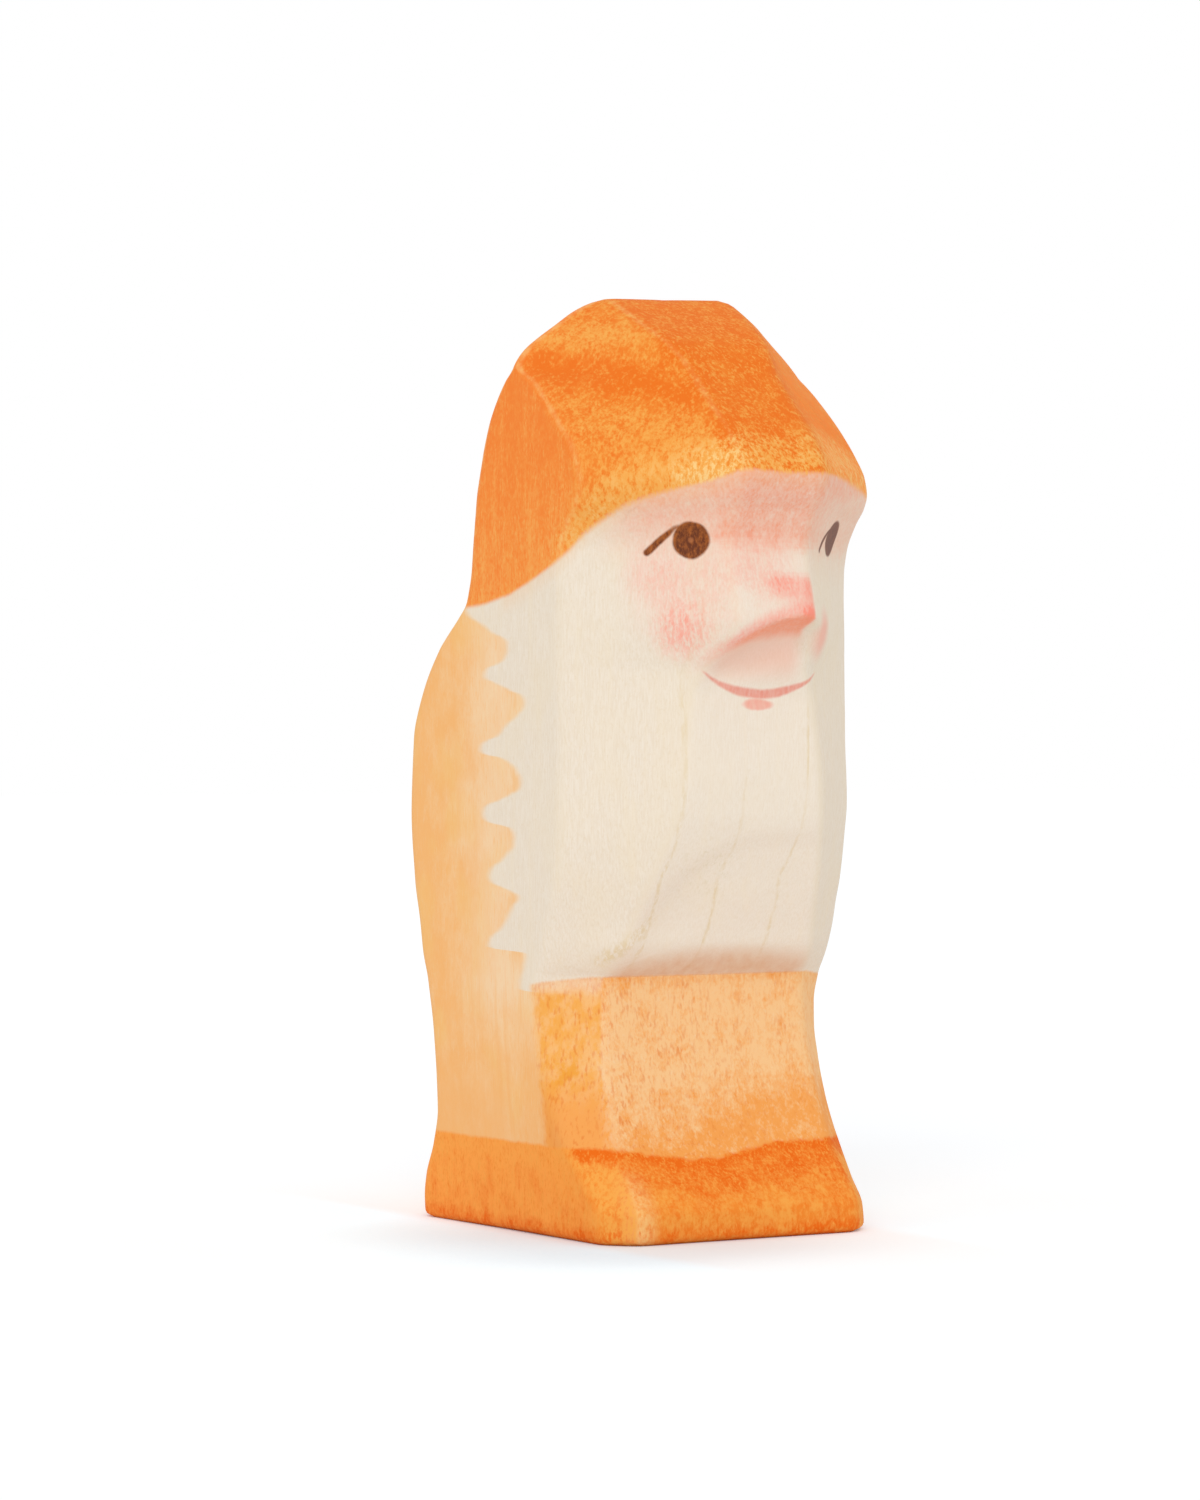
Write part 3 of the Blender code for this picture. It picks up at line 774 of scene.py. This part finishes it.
def addCoat(f, under):
    # back and flanks, up to the zigzag, in a thin streaky stain
    c = coatStain
    inside = f.y - f.z.line(c["edge"]) + f.fringe * 0.7 + f.wobble * 0.6
    zone = inside.step(-0.55, 0.75) * (f.z + f.fringe * 0.3).step(47.7, 46.8)
    tone = f.mix(c["light"], c["deep"], ((f.patch - 0.5) * 1.7 + (f.grain - 0.5) * 0.8
                                        + f.y * 0.05 + 0.44).clear())
    tone = f.mix(tone, c["yellow"], f.cloud.step(0.48, 0.62) * 0.5)
    thin = f.y.step(-3.6, -4.9) * f.z.step(21, 17) * (f.z / 16).clear() * 0.22
    thin = thin + (f.y + (f.patch - 0.5) * 3.0).step(8.0, -1.0) * f.z.step(15, 19) * 0.95
    tone = f.mix(tone, c["thin"], (thin * (f.streak * 0.8 + 0.3)).clear() * 0.75)
    tips = inside.step(-0.2, 0.9) * (f.y + f.wobble).step(-0.4, -2.2) * f.z.step(19.5, 21)
    tone = f.mix(tone, c["pooled"], tips * f.patch.step(0.3, 0.6) * (f.grit * 0.6 + 0.1))
    threads = f.fibre.step(0.49, 0.3) * 0.5 + f.z.step(18, 12) * f.y.step(-0.5, -3.5) * 0.75
    streaks = f.streak.step(0.48, 0.7) * (f.z.step(24, 14) * 0.45 + 0.25)
    tone = f.mix(tone, c["deep"], streaks.most(threads))
    tone = f.mix(tone, c["thin"], (f.fibre.step(0.53, 0.75) * 0.26
                                    + f.z.step(23, 19) * f.z.step(12, 16) * f.y.step(9, 2) * 0.08))
    tone = f.mix(tone, c["deep"], f.z.step(14, 9) * f.y.step(-1.5, 1.0) * 0.6)
    return f.mix(under, tone, zone * 0.97)


skirtStain = {
    "light": tint(249, 199, 140), "deep": tint(246, 163, 78), "yellow": tint(246, 170, 68),
    "pores": tint(230, 122, 36), "pale": tint(247, 214, 168), "gold": tint(240, 158, 36),
    # its upper edge, which climbs a little once this far forward of the axis
    "top": 18.28, "climbFrom": 1.5, "climb": 0.17, "climbMost": 1.05,
    "goldSpot": ((-11.4, -7.2, 12.2), 1.9, 0.4),
}


def addSkirt(f, under):
    # the front, and a richer strip round its near edge
    s = skirtStain
    border = ((f.y * -1 - s["climbFrom"]) * s["climb"]).most(0.0).least(s["climbMost"]) + s["top"]
    zone = (f.z + f.fringe * 0.35 - border).step(0.12, -0.16)
    strip = (f.y + 4.5 - (f.z - 17.5) * 0.1 + f.wobble * 1.2).step(0.7, -0.5)
    strip = strip * (f.around + f.wobble * 0.05).step(0.98, 1.06)
    strip = strip * f.x.step(2.0, 0.0)
    front = f.around.step(1.06, 0.98).most(f.x.step(2.0, 4.0) * f.y.step(-2.5, -3.5))
    low = (f.z - f.across.step(2.0, 9.0) * 2.2 + f.wobble * 2.0).step(12.0, 5.6)
    rimmed = (f.z + f.wobble * 1.2).step(18.0, 19.3)
    tone = f.mix(s["light"], s["deep"], ((f.speck - 0.5) * 2.2 + (f.grit - 0.5) * 2.2 + low * 0.85
                                        + (f.grain - 0.5) * 1.4 + (f.patch - 0.5) * 0.9
                                        + rimmed * 0.45 + 0.12).clear())
    tone = f.mix(tone, s["pale"], f.grit.step(0.52, 0.68) * (1 - low) * 0.46)
    rich = strip * (f.z + f.wobble * 0.8).step(18.6, 17.7) * (f.speck.step(0.36, 0.62) * 0.5 + 0.5)
    tone = f.mix(tone, s["yellow"], rich * 0.85)
    tone = f.mix(tone, s["deep"], strip * f.z.step(13.0, 8.5) * 0.95)
    tone = f.mix(tone, s["gold"], f.dab(*s["goldSpot"]) * f.speck.step(0.3, 0.6) * 0.7)
    pores = f.mottle(4.4, (1, 1, 0.3), 2.0, 0.5, 140).step(0.52, 0.7)
    porous = ((f.patch - 0.5) * 2.0 - f.x * 0.03 + 0.5).clear()
    tone = f.mix(tone, s["pores"], pores * porous * 0.58)
    corner = f.edge.step(1.1, 0.1) * f.around.step(1.5, 1.3) * f.x.step(0, -2) * f.z.step(17, 13)
    tone = f.mix(tone, s["pale"], corner * f.grit.step(0.4, 0.6) * 0.35)
    top = 1 - strip * (f.z + f.wobble * 0.8).step(17.6, 18.9) * 0.34
    return f.mix(under, tone, (zone * (strip + front)).clear() * top * 0.97)


hemStain = {
    "middle": tint(244, 139, 44), "deep": tint(238, 108, 12), "light": tint(248, 170, 76),
    "pale": tint(251, 204, 134), "flank": tint(255, 164, 72),
    # its upper edge, and how far that sags in front: middle, half width, depth
    "top": 6.85, "sag": (-2.5, 9.0, 0.95), "darkSpot": ((-11.6, -9.9, 5.9), 1.7, 0.5),
}


def addHem(f, under):
    # the foot, deepest along its front edge and at the ground
    h = hemStain
    middle, half, depth = h["sag"]
    top = h["top"] - f.x.bell(middle, half) * f.frontal * depth
    edge = f.z + f.wobble * (0.3 + f.frontal * 0.6) + f.fringe * 0.1 - top
    zone = edge.step(0.14, -0.2)
    band = (edge + f.wobble * 2.4).step(-3.6, -1.9) * f.frontal
    band = band * (f.around + f.wobble * 0.2).step(1.25, 1.02)
    foot = (f.z + f.wobble * 1.2).step(1.7, 0.5)
    line = edge.bell(-0.35, 0.5) * 0.3 * (1 - f.flank * 0.8)
    lightness = (f.speck - 0.5) * 2.8 + (f.grit - 0.5) * 3.4 + (f.grain - 0.5) * 1.5 + 0.55
    tone = f.mix(h["middle"], h["light"], lightness.clear() * 0.9)
    combed = ((f.fibre - 0.5) * 3.4 + (f.grain - 0.5) * 3.0 + 0.74).clear()
    tone = f.mix(tone, h["flank"], f.flank * combed)
    deep = (band * 0.62 + foot * 0.6 + line + f.streak.step(0.5, 0.7) * f.flank * 0.25
            + (f.patch - 0.5) * 1.6)
    deep = deep + f.dab(*h["darkSpot"]) * 0.35 - f.flank * edge.step(-2.2, -0.8) * 0.3
    facet = f.around.step(1.0, 1.15) * f.around.step(2.1, 1.8)
    shoulder = (edge + f.wobble * 2.0 + (f.patch - 0.5) * 3.0).step(-2.2, -0.8) * facet
    deep = deep + f.x.step(5.0, 10.0) * 0.2 + shoulder * 0.7
    soaked = (f.grit - 0.5) * -3.4 + (f.grain - 0.5) * -1.6 + 0.95
    tone = f.mix(tone, h["deep"], (deep * soaked).clear())
    # painted highlight: paler down the near corner, close to the ground
    corner = (f.edge + f.wobble).step(2.2, 0.0) * f.around.step(1.7, 1.3) * f.z.step(6.2, 2.6)
    corner = corner * f.x.step(0, -2)
    tone = f.mix(tone, h["pale"], corner * (f.grit.step(0.3, 0.65) * 0.6 + 0.2))
    tone = f.mix(tone, h["light"], facet * (1 - shoulder) * (f.grit.step(0.42, 0.56) * 0.7 + 0.2))
    tone = f.mix(tone, h["deep"], facet * f.grain.step(0.54, 0.62) * f.grit.step(0.55, 0.42) * 0.4)
    tone = f.mix(tone, h["light"], f.flank * edge.step(-2.4, -0.6) * f.fibre.step(0.4, 0.7) * 0.4)
    return f.mix(under, tone, zone * 0.98)


capStain = {
    "middle": tint(242, 144, 48), "deep": tint(239, 116, 16), "light": tint(246, 175, 82),
    "pale": tint(250, 205, 132), "flank": tint(251, 136, 48),
    "flankLow": tint(252, 170, 84), "farSidePaintedLight": tint(255, 141, 40),
    "thinSpot": ((-5.4, -17.4, 56.6), 4.2, 1.2),
    # the rim's height: across the near side and front, and along the far and back sides
    "frontRim": [
        (-13.0, 46.9), (-12.5, 46.9), (-10.8, 47.35), (-9.2, 48.15), (-8.2, 48.75), (-7.0, 49.6),
        (-5.7, 50.7), (-4.4, 52.05), (-2.8, 53.2), (-1.5, 54.0), (0.1, 54.55), (1.8, 54.95),
        (3.9, 55.4), (5.9, 55.97), (7.2, 56.35), (9.8, 56.25), (13.2, 56.3), (15, 56.3),
    ],
    "backRim": [
        (-20, 56.3), (-15.5, 56.1), (-13.2, 55.8), (-11.3, 55.0), (-9.6, 53.4), (-7.8, 51.3),
        (-5.0, 49.2), (-1.5, 47.9), (0.5, 47.3), (4.0, 46.9), (6, 46.9),
    ],
}


def addCap(f, under):
    # thin and pale along the rim, deeper in a band round the middle and on the front
    c = capStain
    hidden = (f.x.step(3.6, 4.6) + f.y.step(-1.5, 0.5)).clear()
    rimHeight = f.across.line(c["frontRim"]) * (1 - hidden) + f.y.line(c["backRim"]) * hidden
    overRim = f.z - rimHeight
    soft = f.around.bell(1.75, 0.5) * 0.25
    border = overRim + soft * 0.4 + f.fringe * (f.frontal * 0.6 + 0.4)
    zone = border.step(-0.2 - soft, 0.25 + soft * 0.4)
    stained = overRim.step(-1.7, -0.1) * (1 - hidden) * (f.speck * 0.24 + 0.04)
    under = f.mix(under, c["light"], stained)
    near = f.x.step(2.0, 0.0)
    facet = f.around.step(1.0, 1.2) * f.around.step(2.1, 1.9) * near
    front = f.around.step(1.15, 0.95).most((1 - near) * f.frontal)
    bend = f.wobble * 2.6
    smear = (f.z + bend * 0.6).bell(66.9, 1.5) * f.x.step(-4.6, -6.4) * facet
    band = (f.z + f.x * 0.25 + bend).bell(61.4, 2.6) * facet
    lower = (f.z + f.x * 0.4 + bend).step(58.4, 56.6) * facet * (f.x.step(-11.6, -8.0) * 0.7 + 0.3)
    right = f.x.step(0.0, 5.0)
    glow = (overRim - right * 0.8 + bend * 0.6).step(4.0, 0.8) * f.across.step(-8.6, -5.2)
    glow = glow * f.around.step(3.4, 3.0)
    dab = f.dab(*c["thinSpot"])
    far = f.x.step(3.0, 5.0) * f.around.step(0.98, 1.3) * f.around.step(3.2, 2.9)
    light = (smear * 0.45 + lower * 0.3 + glow * 0.26 + dab * 0.3 - band * 0.3 - front * 0.12
             + (f.grit - 0.5) * (3.6 - f.flank * 1.2 + glow * 3.6) + (f.speck - 0.5) * 1.6
             + (f.grain - 0.5) * 1.4 + glow * f.frontal * 0.42
             + f.streak.step(0.5, 0.72) * f.flank * 0.35 + 0.12)
    deep = (band * 0.7 + front * 0.42 + f.flank * overRim.step(4.0, 14.0) * 0.6
            + (f.patch - 0.5) * 1.6 - glow * (0.3 + f.frontal * 0.4) - smear * 0.4
            - lower * 0.25
            - (f.grit - 0.5) * (2.6 - f.flank * 1.0 + glow * 2.2)
            - (f.speck - 0.5) * 1.2 - (f.grain - 0.5) * 1.0 + 0.34)
    tone = f.mix(c["middle"], c["deep"], deep.clear())
    tone = f.mix(tone, c["light"], light.clear() * 0.85)
    fade = (overRim.step(13.0, 0.0) * 0.8 + (f.fibre - 0.5) * 3.6 + (f.grain - 0.5) * 3.0
            + (f.streak - 0.5) * 1.6 - 0.22)
    tone = f.mix(tone, f.mix(c["flank"], c["flankLow"], fade.clear()), f.flank * 0.7)
    creamy = f.speck.step(0.4, 0.6) * 0.4 + dab * 0.9
    tone = f.mix(tone, c["pale"], glow * f.grit.step(0.46, 0.62) * creamy)
    # painted light: the far facet, which gets less light, is given a brighter tone, with pale flecks
    # near the rim
    farPaintedLight = ((f.grit - 0.5) * -2.4 + (f.speck - 0.5) * -1.6 + 0.52).clear()
    tone = f.mix(tone, c["farSidePaintedLight"], far * farPaintedLight)
    tone = f.mix(tone, c["pale"], far * glow * (f.grit.step(0.42, 0.6) * 0.4 + 0.1))
    worn = (f.edge + f.wobble * 0.5).step(0.5, 0.0) * (f.speck.step(0.35, 0.6) * 0.7 + 0.3)
    worn = worn * f.x.step(-2.0, -3.0)
    tone = f.mix(tone, c["pale"], worn * (f.around.step(1.3, 1.7) * 0.2 + 0.26))
    return f.mix(under, tone, zone * 0.98)


def stainedMaple():
    material = bpy.data.materials.new("stainedMaple")
    material.use_nodes = True
    tree = material.node_tree
    shader = tree.nodes["Principled BSDF"]
    f = MapleFields(tree)
    colour = facePaint(f, bareWood(f))
    for layer in (addCoat, addSkirt, addHem, addCap, drawnFace):
        colour = layer(f, colour)
    relief = f.start.node("ShaderNodeBump", None, {"Strength": 0.22, "Distance": 0.00006,
                                                   "Height": f.fibre * 0.5 + f.grit * 0.5})
    tree.links.new(colour.socket, shader.inputs["Base Color"])
    tree.links.new((f.fibre * 0.12 + 0.62).socket, shader.inputs["Roughness"])
    tree.links.new(relief.socket, shader.inputs["Normal"])
    shader.inputs["Specular IOR Level"].default_value = 0.1
    return material


material = stainedMaple()
print("material ready")
makeZones(makeCarvedBlock(), material)


# white paper under and behind the figure, and one large soft lamp at the camera's left
studio = {
    "world": 0.82, "sun": 0.68, "sunAngle": 34, "sunward": (-0.54, -0.66, 0.52),
    "paperSize": 6, "floorTint": (248, 249, 250), "floorLift": 0.15,
    "liftTint": (0.95, 1.0, 1.06, 1.0), "footprint": (11, 13, 0), "nearCorner": (-14, -12, 0),
    # before the figure a grey shadow is painted on the paper, out to these distances from foot and
    # corner
    "paintedShadowTint": (226, 222, 222), "footFade": (21, 4), "cornerFade": (29, 9),
    # beside it the stain's glow on the paper is evened out, more on the near side
    "besideTint": (0.8, 1.6, 2.0, 1.0), "besideFade": (30, 0), "nearShare": 1.1, "farShare": 0.6,
}


def makeStudio():
    bpy.ops.object.select_all(action="DESELECT")
    bpy.ops.mesh.primitive_plane_add(size=studio["paperSize"], location=(0, 0, 0))
    floor = bpy.context.object
    floor.name = "floor"
    finish = bpy.data.materials.new("paleFloor")
    finish.use_nodes = True
    tree = finish.node_tree
    start = Signal(tree)
    seen = start.node("ShaderNodeLightPath", out="Is Camera Ray")
    place = start.node("ShaderNodeTexCoord", out="Object")
    place = start.vector("SCALE", {0: place, "Scale": 1 / mm})
    x = start.node("ShaderNodeSeparateXYZ", None, {0: place})
    outward = start.vector("ABSOLUTE", {0: place})
    outward = start.vector("SUBTRACT", {0: outward, 1: studio["footprint"]})
    outward = start.vector("MAXIMUM", {0: outward, 1: (0, 0, 0)})
    outward = start.vector("LENGTH", {0: outward}, out="Value")
    toCorner = start.vector("DISTANCE", {0: place, 1: studio["nearCorner"]}, out="Value")
    paintedShadow = outward.step(*studio["footFade"]) * toCorner.step(*studio["cornerFade"])
    sides = x.step(-11, -14) * studio["nearShare"] + x.step(11, 14) * studio["farShare"]
    beside = sides * outward.step(*studio["besideFade"]) * (1 - paintedShadow * 0.3)
    tone = paintedShadow.between(tint(*studio["floorTint"]), tint(*studio["paintedShadowTint"]))
    glow = beside.between(studio["liftTint"], studio["besideTint"])
    paper = start.node("ShaderNodeBsdfDiffuse", None, {"Color": tone})
    lift = start.node("ShaderNodeEmission", None,
                      {"Color": glow, "Strength": seen * studio["floorLift"]})
    both = start.node("ShaderNodeAddShader", None, {0: paper, 1: lift})
    tree.links.new(both.socket, tree.nodes["Material Output"].inputs["Surface"])
    floor.data.materials.append(finish)

    world = bpy.data.worlds.new("studio")
    bpy.context.scene.world = world
    world.use_nodes = True
    start = Signal(world.node_tree)
    path = start.node("ShaderNodeLightPath", out="Is Camera Ray")
    back = world.node_tree.nodes["Background"]
    back.inputs["Color"].default_value = (1, 1, 1, 1)
    strength = path * (1 - studio["world"]) + studio["world"]
    world.node_tree.links.new(strength.socket, back.inputs["Strength"])

    bpy.ops.object.light_add(type="SUN", location=(0, 0, 1))
    lamp = bpy.context.object
    lamp.name = "softSun"
    lamp.data.angle = math.radians(studio["sunAngle"])
    lamp.data.energy = studio["sun"]
    lamp.rotation_euler = Vector(studio["sunward"]).to_track_quat("Z", "Y").to_euler()


makeStudio()
bpy.context.scene.view_settings.view_transform = "Standard"
print("studio ready")
